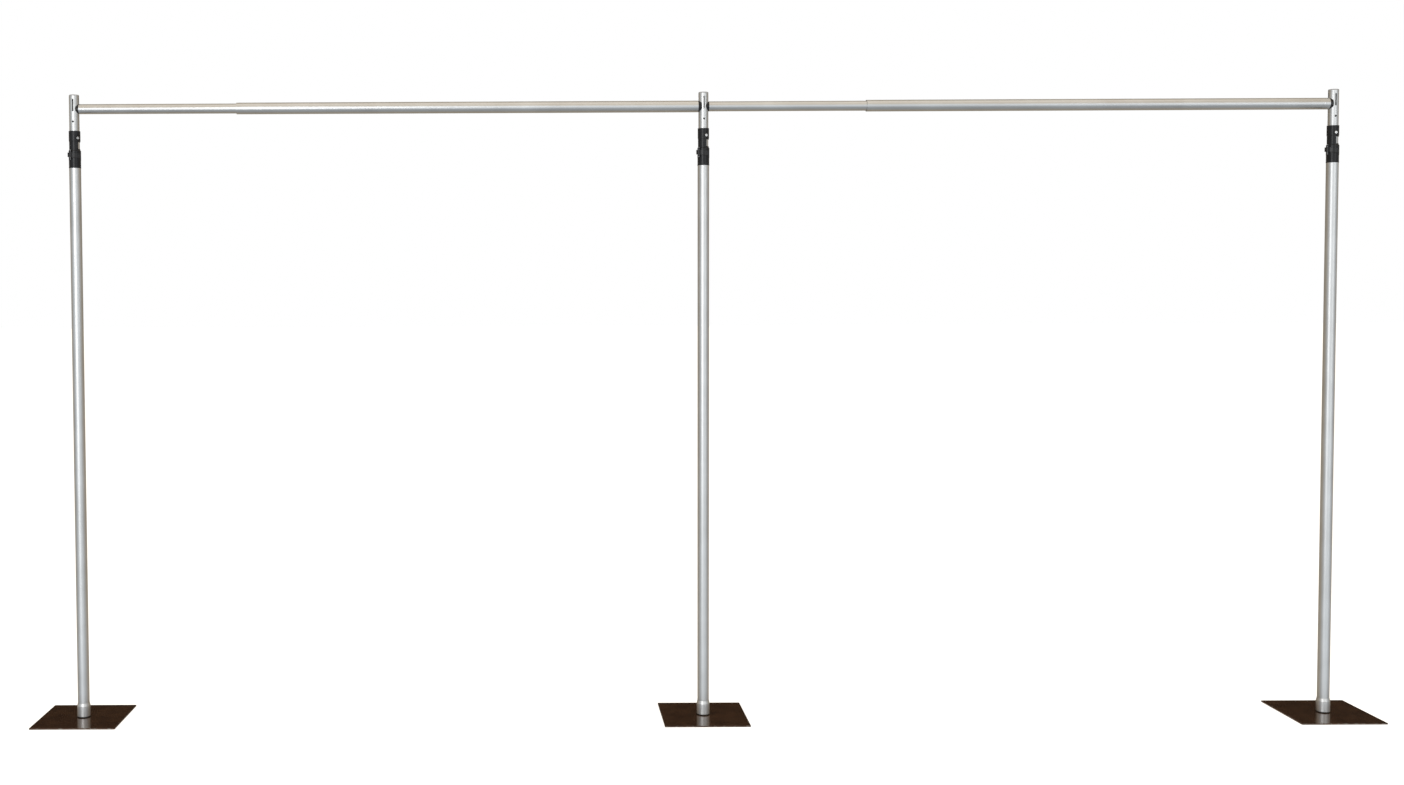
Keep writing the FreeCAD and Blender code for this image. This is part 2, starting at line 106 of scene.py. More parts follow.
POST_X = {side: middle(side + "_lower_tube").x for side in SIDES}
BAR_Z = middle("left_bar_thick_tube").z
TOP = cad_box[1].z
print("posts at", POST_X, "crossbars at", round(BAR_Z, 3), "top", round(TOP, 3))

# %% [markdown]
# ## The view
#
# The stand is seen from a little left of its centre at about eye height, with a nearly normal lens. A small
# sideways shift, as on a view camera, keeps the whole width in the picture while the camera faces straight on.
# The camera dips slightly, so the outer posts lean apart a little towards their tops.

# %% Camera
FOCAL = 39.0
CAMERA_PLACE = Vector((-0.687, -5.93, 1.685))
CAMERA_DIP = math.radians(2.35)
CAMERA_ROLL = 0.0043
CAMERA_HEADING = 0.0012
CAMERA_SHIFT = (0.126, -0.03)
SENSOR_WIDTH = 36.0

view = bpy.data.cameras.new("view")
view.lens = FOCAL
view.sensor_width = SENSOR_WIDTH
view.shift_x, view.shift_y = CAMERA_SHIFT
camera = bpy.data.objects.new("view", view)
camera.location = CAMERA_PLACE
camera.rotation_euler = (math.pi / 2 - CAMERA_DIP, CAMERA_ROLL, CAMERA_HEADING)
bpy.context.collection.objects.link(camera)
bpy.context.scene.camera = camera
print("camera at", list(CAMERA_PLACE))

# %% [markdown]
# ## Shader arithmetic
#
# A finish is easier to read as a formula than as a web of nodes. A small class wraps one output of a node, and
# each operator adds the Math node it stands for. Everything else comes from one method that takes a node's
# type, its settings and the values of its sockets.

# %% A socket that can be calculated with
class Value:
    """An output socket with arithmetic."""

    def __init__(self, tree, socket):
        self.tree = tree
        self.socket = socket

    def maths(self, operation, *others):
        node = self.tree.nodes.new("ShaderNodeMath")
        node.operation = operation
        for index, item in enumerate(others):
            if isinstance(item, Value):
                self.tree.links.new(item.socket, node.inputs[index])
            else:
                node.inputs[index].default_value = item
        return Value(self.tree, node.outputs[0])

    def __add__(self, other):
        return self.maths("ADD", self, other)

    def __sub__(self, other):
        return self.maths("SUBTRACT", self, other)

    def __rsub__(self, other):
        return self.maths("SUBTRACT", other, self)

    def __mul__(self, other):
        return self.maths("MULTIPLY", self, other)

    __radd__ = __add__
    __rmul__ = __mul__

    def size(self):
        return self.maths("ABSOLUTE", self)

    def above(self, start, full):
        """0 below start, 1 above full, and smooth between them."""
        node = self.tree.nodes.new("ShaderNodeMapRange")
        node.interpolation_type = "SMOOTHSTEP"
        self.tree.links.new(self.socket, node.inputs["Value"])
        node.inputs["From Min"].default_value = start
        node.inputs["From Max"].default_value = full
        return Value(self.tree, node.outputs["Result"])


# %% A graph and a finish
class Graph:
    """A node tree that nodes and mixes are added to."""

    def __init__(self, tree):
        self.tree = tree

    def node(self, kind, settings=None, output=0, **sockets):
        """Adds one node, sets it, feeds its sockets and returns one output."""
        node = self.tree.nodes.new("ShaderNode" + kind)
        for setting, value in (settings or {}).items():
            setattr(node, setting, value)
        for socket, value in sockets.items():
            target = node.inputs[socket.replace("_", " ")]
            if isinstance(value, Value):
                self.tree.links.new(value.socket, target)
            else:
                target.default_value = value
        return None if output is None else Value(self.tree, node.outputs[output])

    def part(self, vector, name):
        """One component of a vector."""
        parts = self.tree.nodes.new("ShaderNodeSeparateXYZ")
        self.tree.links.new(vector.socket, parts.inputs[0])
        return Value(self.tree, parts.outputs[name])

    def mix(self, factor, first, second):
        """A colour between two colours."""
        node = self.tree.nodes.new("ShaderNodeMix")
        node.data_type = "RGBA"
        # Sockets 6 and 7 are the two colours: the node also has hidden A and B sockets of other types.
        for index, item in (("Factor", factor), (6, first), (7, second)):
            if isinstance(item, Value):
                self.tree.links.new(item.socket, node.inputs[index])
            else:
                node.inputs[index].default_value = item
        return Value(self.tree, node.outputs[2])


class Finish(Graph):
    """A Principled material that is built up from formulas."""

    def __init__(self, name, **constants):
        self.material = bpy.data.materials.new(name)
        self.material.use_nodes = True
        super().__init__(self.material.node_tree)
        self.shader = self.tree.nodes["Principled BSDF"]
        for socket, value in constants.items():
            self.shader.inputs[socket.replace("_", " ")].default_value = value
        self.place = self.node("TexCoord", output="Object")

    def stretched(self, x, y, z):
        """Object coordinates multiplied along each axis."""
        return self.node("Mapping", Vector=self.place, Scale=(x, y, z))

    def noise(self, vector, scale, detail=4.0, roughness=0.5):
        """Noise between 0 and 1."""
        return self.node("TexNoise", Vector=vector, Scale=scale, Detail=detail, Roughness=roughness)

    def axis(self, name, centre=0.0):
        """Distance along one object axis from a centre."""
        return self.part(self.place, name) - centre

    def feed(self, socket, value):
        """Links a value to the shader."""
        self.tree.links.new(value.socket, self.shader.inputs[socket])

    def relief(self, height, depth, strength=1.0):
        """Bumps the surface by a height of 0 to 1 times a depth in metres."""
        bump = self.node("Bump", Height=height, Distance=depth, Strength=strength)
        self.tree.links.new(bump.socket, self.shader.inputs["Normal"])


def grey(level, warmth=0.0):
    """A grey, warmer or cooler by a small amount."""
    return (level + warmth, level, level - warmth, 1.0)


print("shader helpers ready")

# %% [markdown]
# ## Anodised tube
#
# The tubes are drawn aluminium with a satin anodised skin. Drawing leaves fine lines along the tube, handling
# leaves soft cloudy patches, and sliding one tube in another leaves thin rings. Noise stretched along the
# tube's own axis gives the lines, so posts and crossbars each have a version of the finish.

# %% Tube finish
LINES_ACROSS = 1400.0
LINES_ALONG = 4.0
RINGS_ACROSS = 2.0
RINGS_ALONG = 90.0
CLOUD_SCALE = 9.0
SCUFF_SCALE = 70.0
LINE_DEPTH = 0.00006
POST_BRIGHTNESS, POST_ROUGHNESS = 0.78, 0.40
BAR_BRIGHTNESS, BAR_ROUGHNESS = 0.68, 0.36




def tube_finish(name, along, base, roughness):
    """Drawn aluminium whose lines run along X or Z."""
    finish = Finish(name, Metallic=1.0)
    if along == "Z":
        lines_at = finish.stretched(LINES_ACROSS, LINES_ACROSS, LINES_ALONG)
        rings_at = finish.stretched(RINGS_ACROSS, RINGS_ACROSS, RINGS_ALONG)
    else:
        lines_at = finish.stretched(LINES_ALONG, LINES_ACROSS, LINES_ACROSS)
        rings_at = finish.stretched(RINGS_ALONG, RINGS_ACROSS, RINGS_ACROSS)
    lines = finish.noise(lines_at, 1.0, detail=3.0)
    rings = finish.noise(rings_at, 1.0, detail=2.0).above(0.62, 0.78)
    clouds = finish.noise(finish.place, CLOUD_SCALE, detail=5.0)
    scuffs = finish.noise(finish.place, SCUFF_SCALE, detail=6.0, roughness=0.7).above(0.6, 0.75)
    tone = lines * 0.5 + clouds * 0.5
    dull, clean = grey(base * 0.88, 0.004), grey(base * 1.06, -0.006)
    finish.feed("Base Color", finish.mix(tone.above(0.3, 0.7), dull, clean))
    drawn = (lines - 0.5) * 0.16 + (clouds - 0.5) * 0.12
    finish.feed("Roughness", drawn + scuffs * 0.07 + rings * 0.05 + roughness)
    finish.relief(lines * 0.7 + rings * 0.3, LINE_DEPTH)
    return finish.material


post_tube = tube_finish("anodised_post_tube", "Z", POST_BRIGHTNESS, POST_ROUGHNESS)
bar_tube = tube_finish("anodised_crossbar_tube", "X", BAR_BRIGHTNESS, BAR_ROUGHNESS)
print("tube finishes made")

# %% [markdown]
# ## Coated plate
#
# The plates are thick steel with a glossy, almost black brown coating. A sprayed coating has a faint
# orange-peel ripple, gathers dust, and is rubbed lighter along its edges. The edge rub needs the distance from
# the plate's own centre, so each plate has its own copy of the finish.

# %% Plate finish
RUB_WIDTH = 0.006
RUB_SCALE = 55.0
DUST_SCALE = 900.0
PATCH_SCALE = 14.0
PEEL_SCALE = 420.0
PEEL_DEPTH = 0.00006
COAT_DARK = (0.052, 0.026, 0.015, 1.0)
COAT_LIGHT = (0.075, 0.038, 0.021, 1.0)
DUST_COLOUR = grey(0.20, 0.02)
RUBBED_COLOUR = grey(0.16, 0.01)
COAT_GLOSS = 0.12


def plate_finish(side):
    """Glossy dark brown coating, rubbed along the plate's edges."""
    finish = Finish("plate_coating_" + side, Coat_Roughness=0.06, Coat_IOR=1.45)
    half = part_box(side + "_base_plate")[1].y
    out_x = finish.axis("X", POST_X[side]).size()
    out_y = finish.axis("Y").size()
    edge = out_x.maths("MAXIMUM", out_x, out_y)
    rubs = finish.noise(finish.place, RUB_SCALE, detail=7.0, roughness=0.65)
    worn = edge.above(half - RUB_WIDTH, half) * rubs.above(0.5, 0.62)
    dust = finish.noise(finish.place, DUST_SCALE, detail=2.0).above(0.7, 0.78)
    patches = finish.noise(finish.place, PATCH_SCALE, detail=5.0)
    peel = finish.noise(finish.place, PEEL_SCALE, detail=2.0)
    base = finish.mix(patches.above(0.35, 0.65), COAT_DARK, COAT_LIGHT)
    base = finish.mix(dust * 0.3, base, DUST_COLOUR)
    base = finish.mix(worn * 0.6, base, RUBBED_COLOUR)
    finish.feed("Base Color", base)
    finish.feed("Roughness", patches * 0.08 + worn * 0.25 + dust * 0.2 + COAT_GLOSS)
    finish.feed("Coat Weight", 0.3 - worn * 0.25 - dust * 0.1)
    finish.relief(peel, PEEL_DEPTH, 0.5)
    return finish.material


PLATE_COATS = {side: plate_finish(side) for side in SIDES}
print("plate coats made")

# %% [markdown]
# ## Mouldings
#
# The locks and crossbar ends are moulded black nylon. The mould is lightly textured, so the surface has a fine
# grain that breaks up highlights, and handling has polished it in patches. The levers are a little glossier,
# and their paler colour is a painted highlight. The caps are silver-grey, the bushes inside the tubes are
# undyed, and the rings under the collars are rubber, which is the roughest of them.

# %% Moulding finishes
def moulded_finish(name, dark, light, roughness, grain, depth):
    """Moulded plastic or rubber with a fine grain."""
    finish = Finish(name, IOR=1.42)
    fine = finish.noise(finish.place, grain, detail=3.0)
    polish = finish.noise(finish.place, 60.0, detail=4.0)
    scratches = finish.noise(finish.stretched(900.0, 120.0, 300.0), 1.0, detail=3.0).above(0.68, 0.76)
    finish.feed("Base Color", finish.mix(polish.above(0.3, 0.7) * 0.7 + scratches * 0.3, dark, light))
    finish.feed("Roughness", (polish - 0.5) * 0.25 + (fine - 0.5) * 0.1 + scratches * 0.12 + roughness)
    finish.relief(fine, depth)
    return finish.material


black_nylon = moulded_finish("black_nylon", (0.004, 0.004, 0.005, 1), (0.010, 0.010, 0.012, 1),
                             roughness=0.27, grain=2600.0, depth=0.00002)
# The lever's paler colour is a painted highlight on its grip face; only its lower roughness is real gloss.
lever_nylon_painted_highlight = moulded_finish("lever_nylon_painted_highlight", (0.010, 0.010, 0.011, 1), (0.022, 0.022, 0.023, 1),
                             roughness=0.22, grain=2600.0, depth=0.00002)
black_rubber = moulded_finish("black_rubber", (0.012, 0.012, 0.012, 1), (0.028, 0.027, 0.026, 1),
                              roughness=0.62, grain=1500.0, depth=0.00003)
grey_nylon = moulded_finish("silver_nylon", (0.30, 0.30, 0.31, 1), (0.42, 0.42, 0.43, 1),
                            roughness=0.40, grain=2400.0, depth=0.00002)
pale_nylon = moulded_finish("natural_nylon", (0.62, 0.60, 0.54, 1), (0.74, 0.72, 0.66, 1),
                            roughness=0.45, grain=2000.0, depth=0.00002)
print("mouldings ready")

# %% [markdown]
# ## Steel fittings
#
# The hooks and spigots are zinc-plated, with the crystalline mottling that plating has. Bolts, screws and pins
# are polished, so they are brighter and smoother, and their mottling is too fine to see as crystals.

# %% Steel finishes
def steel_finish(name, base, roughness, mottle):
    """Plated or polished steel."""
    finish = Finish(name, Metallic=1.0)
    crystals = finish.node("TexVoronoi", Vector=finish.place, Scale=mottle)
    smears = finish.noise(finish.place, 120.0, detail=5.0)
    cool, warm = grey(base * 0.9, -0.004), grey(base * 1.08, 0.004)
    finish.feed("Base Color", finish.mix(crystals.above(0.0, 1.0), cool, warm))
    finish.feed("Roughness", (smears - 0.5) * 0.2 + crystals * 0.06 + roughness)
    finish.relief(smears, 0.00002)
    return finish.material


zinc_steel = steel_finish("zinc_plated_steel", base=0.48, roughness=0.38, mottle=700.0)
bright_steel = steel_finish("polished_steel", base=0.72, roughness=0.18, mottle=1500.0)
print("steels ready")

# %% [markdown]
# ## Dressing the nodes
#
# A node's name ends with the kind of piece it is, so one table dresses every copy.

# %% Give every node its finish
FINISHES = {
    "spigot": zinc_steel,
    "spigot_bolt": bright_steel,
    "foot_ring": black_rubber,
    "foot_collar": post_tube,
    "lower_tube": post_tube,
    "upper_tube": post_tube,
    "guide_bush": pale_nylon,
    "top_cap": grey_nylon,
    "lock_body": black_nylon,
    "lock_lever": lever_nylon_painted_highlight,
    "lever_pin": bright_steel,
    "drag_screw": bright_steel,
    "bar_thin_tube": bar_tube,
    "bar_thick_tube": bar_tube,
    "bar_thin_plug": black_nylon,
    "bar_thick_plug": black_nylon,
    "bar_thin_hook": zinc_steel,
    "bar_thick_hook": zinc_steel,
    "bar_thin_pin": bright_steel,
    "bar_thick_pin": bright_steel,
    "bar_tail_bush": pale_nylon,
    "bar_mouth_bush": black_nylon,
}

for name, piece in frame["nodes"].items():
    side, kind = name.split("_", 1)
    piece.data.materials.clear()
    piece.data.materials.append(PLATE_COATS[side] if kind == "base_plate" else FINISHES[kind])
print("dressed", len(frame["nodes"]), "nodes")

# %% [markdown]
# ## Tools for turned and moulded pieces
#
# Most of the fittings are round, so they start as an outline of radius and height that is spun about the post's
# axis. Windows, slits and holes are cut with simple tools. A real moulding or turning has no razor edges, so
# every sharp edge is then rounded a little, which is what catches the light.

# %% Spinning, combining and rounding
MM = 0.001
ROUND_STEPS = 96
SHARP = math.radians(35)
FLAT = math.radians(0.5)
SAME_PLACE = 0.004 * MM


def stand_alone(bm, name):
    """Puts a bmesh in an object of its own, with its faces turned outwards."""
    bmesh.ops.remove_doubles(bm, verts=bm.verts, dist=SAME_PLACE / 2)
    bmesh.ops.recalc_face_normals(bm, faces=bm.faces)
    mesh = bpy.data.meshes.new(name)
    bm.to_mesh(mesh)
    bm.free()
    piece = bpy.data.objects.new(name, mesh)
    bpy.context.collection.objects.link(piece)
    return piece


def lathe(name, outline):
    """Spins a closed outline of (radius, height) points, in millimetres, about Z."""
    bm = bmesh.new()
    points = [bm.verts.new((radius * MM, 0, height * MM)) for radius, height in outline]
    edges = [bm.edges.new(pair) for pair in zip(points, points[1:] + points[:1])]
    bmesh.ops.spin(bm, geom=points + edges, axis=(0, 0, 1), cent=(0, 0, 0), angle=math.tau,
                   steps=ROUND_STEPS, use_merge=True)
    return stand_alone(bm, name)


def rod(name, radius, low, high, place=(0, 0), segments=48):
    """An upright cylinder, in millimetres."""
    bm = bmesh.new()
    at = Matrix.Translation(Vector((place[0], place[1], (low + high) / 2)) * MM)
    bmesh.ops.create_cone(bm, cap_ends=True, segments=segments, radius1=radius * MM, radius2=radius * MM,
                          depth=(high - low) * MM, matrix=at)
    return stand_alone(bm, name)


def block(name, x, y, z):
    """A box from three (low, high) pairs, in millimetres."""
    bm = bmesh.new()
    size = [(high - low) * MM for low, high in (x, y, z)]
    at = Vector([(low + high) / 2 * MM for low, high in (x, y, z)])
    bmesh.ops.create_cube(bm, size=1.0, matrix=Matrix.Translation(at) @ Matrix.Diagonal((*size, 1.0)))
    return stand_alone(bm, name)


def turn(piece, degrees, axis="Z", about=(0, 0, 0)):
    """Turns a piece's mesh about a line through a point in metres."""
    home = Matrix.Translation(Vector(about))
    piece.data.transform(home @ Matrix.Rotation(math.radians(degrees), 4, axis) @ home.inverted())
    return piece


def combine(body, operation, *tools):
    """Joins tools to a body or cuts them away, and discards them."""
    for tool in tools:
        step = body.modifiers.new("combine", "BOOLEAN")
        step.operation = operation
        step.solver = "EXACT"
        step.object = tool
        bpy.context.view_layer.update()
        settled = bpy.data.meshes.new_from_object(body.evaluated_get(bpy.context.evaluated_depsgraph_get()))
        body.modifiers.clear()
        body.data = settled
        bpy.data.objects.remove(tool)
    return body


def soften(piece, width, segments=3, where=None):
    """Rounds the sharp edges, or those that a test picks, by a width in millimetres and smooths the rest."""
    bm = bmesh.new()
    bm.from_mesh(piece.data)
    bmesh.ops.remove_doubles(bm, verts=bm.verts, dist=SAME_PLACE)
    bmesh.ops.dissolve_limit(bm, angle_limit=FLAT, verts=bm.verts, edges=bm.edges)
    sharp = [edge for edge in bm.edges if len(edge.link_faces) == 2 and edge.calc_face_angle() > SHARP]
    if where:
        sharp = [edge for edge in sharp if where(edge)]
    bmesh.ops.bevel(bm, geom=sharp, offset=width * MM, offset_type="OFFSET", affect="EDGES", segments=segments,
                    profile=0.5, material=-1, clamp_overlap=True)
    bmesh.ops.triangulate(bm, faces=[face for face in bm.faces if len(face.verts) > 4])
    for face in bm.faces:
        face.smooth = True
    for edge in bm.edges:
        edge.smooth = len(edge.link_faces) == 2 and edge.calc_face_angle() < SHARP
    bm.to_mesh(piece.data)
    bm.free()
    return piece


def place_copy(master, node, finish, x, degrees=0.0):
    """Puts a copy of a piece, drawn round the Z axis, at a post in place of a node."""
    body = next(name for name, nodes in frame["record"]["behaviour"]["bodies"].items() if node in nodes)
    copy = bpy.data.objects.new(node + "_fine", master.data.copy())
    bpy.context.collection.objects.link(copy)
    copy.data.transform(Matrix.Translation((x, 0, 0)) @ Matrix.Rotation(math.radians(degrees), 4, "Z"))
    copy.data.materials.clear()
    copy.data.materials.append(finish)
    copy.modifiers.new("flat faces stay flat", "WEIGHTED_NORMAL").keep_sharp = True
    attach(copy, body)
    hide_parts(node)


def discard(master):
    """Removes a master once its copies are placed."""
    print(master.name, len(master.data.polygons), "faces")
    bpy.data.objects.remove(master)


def place_everywhere(master, kind, finish, turns=None):
    """Puts a copy at every post."""
    for side in SIDES:
        place_copy(master, f"{side}_{kind}", finish, POST_X[side], turns[side] if turns else 0.0)
    discard(master)


print("tools ready")

# %% [markdown]
# ## Sizes the fittings share
#
# Radii and heights are read from the nodes' boxes, in millimetres. What a box can't tell, such as the heights
# of the steps on the lock, is named here once.

# %% Read the sizes
def span(node):
    """Lowest and highest height of a node, in millimetres."""
    low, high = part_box(node)
    return low.z / MM, high.z / MM


def radius(node):
    """Half a round node's depth, in millimetres."""
    low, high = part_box(node)
    return (high.y - low.y) / 2 / MM


THIN_R = radius("centre_upper_tube")
THICK_R = radius("centre_lower_tube")
LOCK_LOW = span("centre_lower_tube")[1]
SKIRT_LOW = span("centre_lock_body")[0]
LOCK_TOP = span("centre_lock_body")[1]
LOCK_PLAY = 0.3
LOCK_BORE = THIN_R + LOCK_PLAY
TUBE_WALL = 1.65
PLUG_PLAY = 0.1
LOCK_SKIRT_R = THICK_R - TUBE_WALL - PLUG_PLAY
print("tube radii", round(THIN_R, 2), round(THICK_R, 2), "lock", round(LOCK_LOW, 1), "to", round(LOCK_TOP, 1))

# %% [markdown]
# ## Foot collar
#
# The collar is a short turned sleeve at the foot of each post. Its straight part has a shallow groove near the
# top, where the taper starts, and the taper runs down to nothing on the tube.

# %% Collar
COLLAR_TAPER = 12.0
GROOVE_DEPTH = 0.35
TAPER_END = 0.5

low, high = span("centre_foot_collar")
outer = radius("centre_foot_collar")
shoulder = high - COLLAR_TAPER
collar = lathe("collar", [
    (THICK_R, low), (outer, low), (outer, shoulder - 3), (outer - GROOVE_DEPTH, shoulder - 2.4),
    (outer - GROOVE_DEPTH, shoulder - 1.6), (outer, shoulder - 1), (outer, shoulder),
    (THICK_R + TAPER_END, high), (THICK_R, high)])
soften(collar, 0.35)
place_everywhere(collar, "foot_collar", post_tube)

# %% [markdown]
# ## Base plate, foot ring and top cap
#
# The plate is cut from sheet, so its corners are rounded in plan and its edges are only broken. A countersink
# in its underside takes the bolt that holds the spigot. The ring under the collar is a plain rubber washer with
# soft edges. The cap that closes a post is a plug with a rounded rim.

# %% Plate
PLATE_CORNER = 4.0
PLATE_EDGE = 0.7
SINK_LIP = 0.8
BOLT_WAY_R = 5.1
NEAR_BOLT = 60 * MM

half = radius("centre_base_plate")
low, high = span("centre_base_plate")
plate = block("plate", (-half, half), (-half, half), (low, high))
head = radius("centre_spigot_bolt") + 0.1
cone_top = SINK_LIP + head - BOLT_WAY_R
sink = lathe("sink", [(0, low - 1), (head, low - 1), (head, SINK_LIP), (BOLT_WAY_R, cone_top),
                      (BOLT_WAY_R, high + 1), (0, high + 1)])
combine(plate, "DIFFERENCE", sink)
soften(plate, PLATE_CORNER, 6, lambda edge: abs(edge.verts[0].co.z - edge.verts[1].co.z) > 4 * MM)
soften(plate, PLATE_EDGE, 3, lambda edge: edge.verts[0].co.xy.length > NEAR_BOLT)
for side in SIDES:
    place_copy(plate, side + "_base_plate", PLATE_COATS[side], POST_X[side])
discard(plate)

# %% Ring and cap
RING_PLAY = 0.3
RING_ROUND = 0.6
CAP_ROUND = 2.9

low, high = span("centre_foot_ring")
outer = radius("centre_foot_ring")
inner = radius("centre_spigot") + RING_PLAY
ring = lathe("ring", [(inner, low), (outer, low), (outer, high), (inner, high)])
place_everywhere(soften(ring, RING_ROUND), "foot_ring", black_rubber)

low, high = span("centre_top_cap")
seat = span("centre_upper_tube")[1]
plug = THIN_R - TUBE_WALL - PLUG_PLAY
cap = lathe("cap", [(0, low), (plug - 1, low), (plug, low + 1), (plug, seat), (THIN_R, seat), (THIN_R, high),
                    (0, high)])
soften(cap, CAP_ROUND, 8, lambda edge: min(vertex.co.z for vertex in edge.verts) > (high - 0.01) * MM)
place_everywhere(cap, "top_cap", grey_nylon)

# %% [markdown]
# ## Upper tube
#
# The upper tube has a slot in each quarter for a crossbar's hook and a cross hole for a pin. The slots are
# milled, with a flat floor and a round top, and deburred. That leaves a thin bright edge round each of them.
# One cutter goes right through the tube, so two of them, a quarter turn apart, make all four slots.

# %% Upper tube
SLOT_WIDTH = 5.6
SLOT_HEIGHT = 47.7
SLOT_FLOOR_DROP = 9.0
SLOT_FLOOR = BAR_Z / MM - SLOT_FLOOR_DROP
PIN_HOLE_R = 4.0
PIN_HOLE_DROP = 104.0
PIN_HOLE_Z = TOP / MM - PIN_HOLE_DROP

low, high = span("centre_upper_tube")
mast = lathe("mast", [(THIN_R - TUBE_WALL, low), (THIN_R, low), (THIN_R, high), (THIN_R - TUBE_WALL, high)])
reach = THIN_R + 2
shoulder = SLOT_FLOOR + SLOT_HEIGHT - SLOT_WIDTH / 2
for across in (0, 90):
    mill = block("mill", (-reach, reach), (-SLOT_WIDTH / 2, SLOT_WIDTH / 2), (SLOT_FLOOR, shoulder))
    nose = turn(rod("nose", SLOT_WIDTH / 2, -reach, reach), 90, "Y")
    nose.data.transform(Matrix.Translation((0, 0, shoulder * MM)))
    combine(mast, "DIFFERENCE", turn(combine(mill, "UNION", nose), across))
drill = turn(rod("drill", PIN_HOLE_R, -reach, reach), 90, "X")
drill.data.transform(Matrix.Translation((0, 0, PIN_HOLE_Z * MM)))
combine(mast, "DIFFERENCE", drill)
place_everywhere(soften(mast, 0.25, 2), "upper_tube", post_tube)

# %% [markdown]
# ## Lock body
#
# The lock is one nylon moulding. From the bottom it has a skirt inside the thick tube, a sleeve that sits on
# the tube's end, a split barrel under the lever, a slimmer neck with a window, and a ring with a screw. It is
# spun first, bore and all. The lugs, ear and boss are joined to it, and the window is cut out. Its edges are
# rounded before the pocket, pin hole and slit are cut, so that no rounding reaches into the cam's space.

# %% Lock heights and directions
SLEEVE, BARREL, NECK = 30.0, 38.0, 36.0
SLEEVE_R = THICK_R + 1.0
SLEEVE_RELIEF = 0.45
NECK_R = LOCK_BORE + 1.4
RING_R = LOCK_BORE + 2.45
BARREL_LOW = LOCK_LOW + SLEEVE
NECK_LOW = BARREL_LOW + BARREL
RING_LOW = NECK_LOW + NECK
KNUCKLE_LOW = BARREL_LOW + 10.0
KNUCKLE_HIGH = KNUCKLE_LOW + 21.0
KNUCKLE_R = 5.0
POCKET_R = 6.0
CAM_THROW = 0.6
LUG_GAP = 0.6
LUG_HEIGHT = 6.2
PIN_PLACE = LOCK_BORE + 1.55 + POCKET_R
PIN_AZIMUTH = -38.0
PIN_R = 2.0
EAR_FROM, EAR_TO = -12.5, -9.0
SLIT_FROM, SLIT_TO = -9.4, -7.0
WINDOW_FROM, WINDOW_ANGLE = 38.0, 162.0
WINDOW_MARGIN = 3.0
LEVER_TO = 52.0
SCREW_AZIMUTH = 27.0
SCREW_HEIGHT = RING_LOW + 11.0
BOSS_R = 6.2
BOSS_RISE = 0.9


def facing(piece, azimuth):
    """Turns a piece drawn outwards along +X to an azimuth from the front."""
    return turn(piece, azimuth - 90.0)


def lock_turn(side):
    """How far a post's lock is turned, in degrees, from where its lever's pin is."""
    joint = next(item for item in frame["joints"] if item["name"] == side + "_lever_turn")
    return math.degrees(math.atan2(joint["pos_m"][0] - POST_X[side], -joint["pos_m"][1])) - PIN_AZIMUTH


LOCK_TURN = {side: lock_turn(side) for side in SIDES}
print("locks turned by", {side: round(value, 1) for side, value in LOCK_TURN.items()})


# %% Lock body
def lock_outline():
    """The moulding's outline, with its steps and a bead on its lower rim."""
    shoulder = SLEEVE_R - NECK_R
    flare = RING_R - NECK_R
    return [(LOCK_BORE, SKIRT_LOW), (LOCK_SKIRT_R, SKIRT_LOW), (LOCK_SKIRT_R, LOCK_LOW), (SLEEVE_R, LOCK_LOW),
            (SLEEVE_R, LOCK_LOW + 2.5), (SLEEVE_R - SLEEVE_RELIEF, LOCK_LOW + 3.1),
            (SLEEVE_R - SLEEVE_RELIEF, BARREL_LOW - 1.2),
            (SLEEVE_R, BARREL_LOW), (SLEEVE_R, NECK_LOW - 1.0), (NECK_R, NECK_LOW + shoulder - 1.0),
            (NECK_R, RING_LOW - flare), (RING_R, RING_LOW), (RING_R, LOCK_TOP), (LOCK_BORE, LOCK_TOP)]


def lug(low, high):
    """One ear of the hinge."""
    web = block("web", (LOCK_BORE + 0.2, PIN_PLACE), (-KNUCKLE_R, KNUCKLE_R), (low, high))
    return facing(combine(web, "UNION", rod("eye", KNUCKLE_R, low, high, (PIN_PLACE, 0))), PIN_AZIMUTH)


def cam_ear():
    """The ear beyond the slit, which the cam squeezes."""
    start = SLEEVE_R + 0.8
    heights = (KNUCKLE_LOW + 2, KNUCKLE_HIGH - 2)
    root = block("root", (LOCK_BORE + 0.2, start + 1), (EAR_FROM, EAR_TO), heights)
    head = block("head", (start, start + 4.0), (EAR_FROM, -POCKET_R), heights)
    return facing(combine(root, "UNION", head), PIN_AZIMUTH)


def boss():
    """Round boss under the screw's head."""
    stub = rod("stub", BOSS_R, LOCK_BORE + 0.3, RING_R + BOSS_RISE)
    turn(stub, 90, "Y")
    stub.data.transform(Matrix.Translation((0, 0, SCREW_HEIGHT * MM)))
    return facing(stub, SCREW_AZIMUTH)


def window_tool():
    """A wedge that opens one side of the neck."""
    low = NECK_LOW + SLEEVE_R - NECK_R + WINDOW_MARGIN
    high = RING_LOW - (RING_R - NECK_R) - WINDOW_MARGIN
    bm = bmesh.new()
    corners = [bm.verts.new((r * MM, 0, z * MM)) for r, z in
               ((LOCK_BORE - 4, low), (SLEEVE_R + 2, low), (SLEEVE_R + 2, high), (LOCK_BORE - 4, high))]
    face = bm.faces.new(corners)
    bmesh.ops.spin(bm, geom=[face, *face.edges, *face.verts], axis=(0, 0, 1), cent=(0, 0, 0),
                   angle=math.radians(WINDOW_ANGLE), steps=40)
    return facing(stand_alone(bm, "window"), WINDOW_FROM)


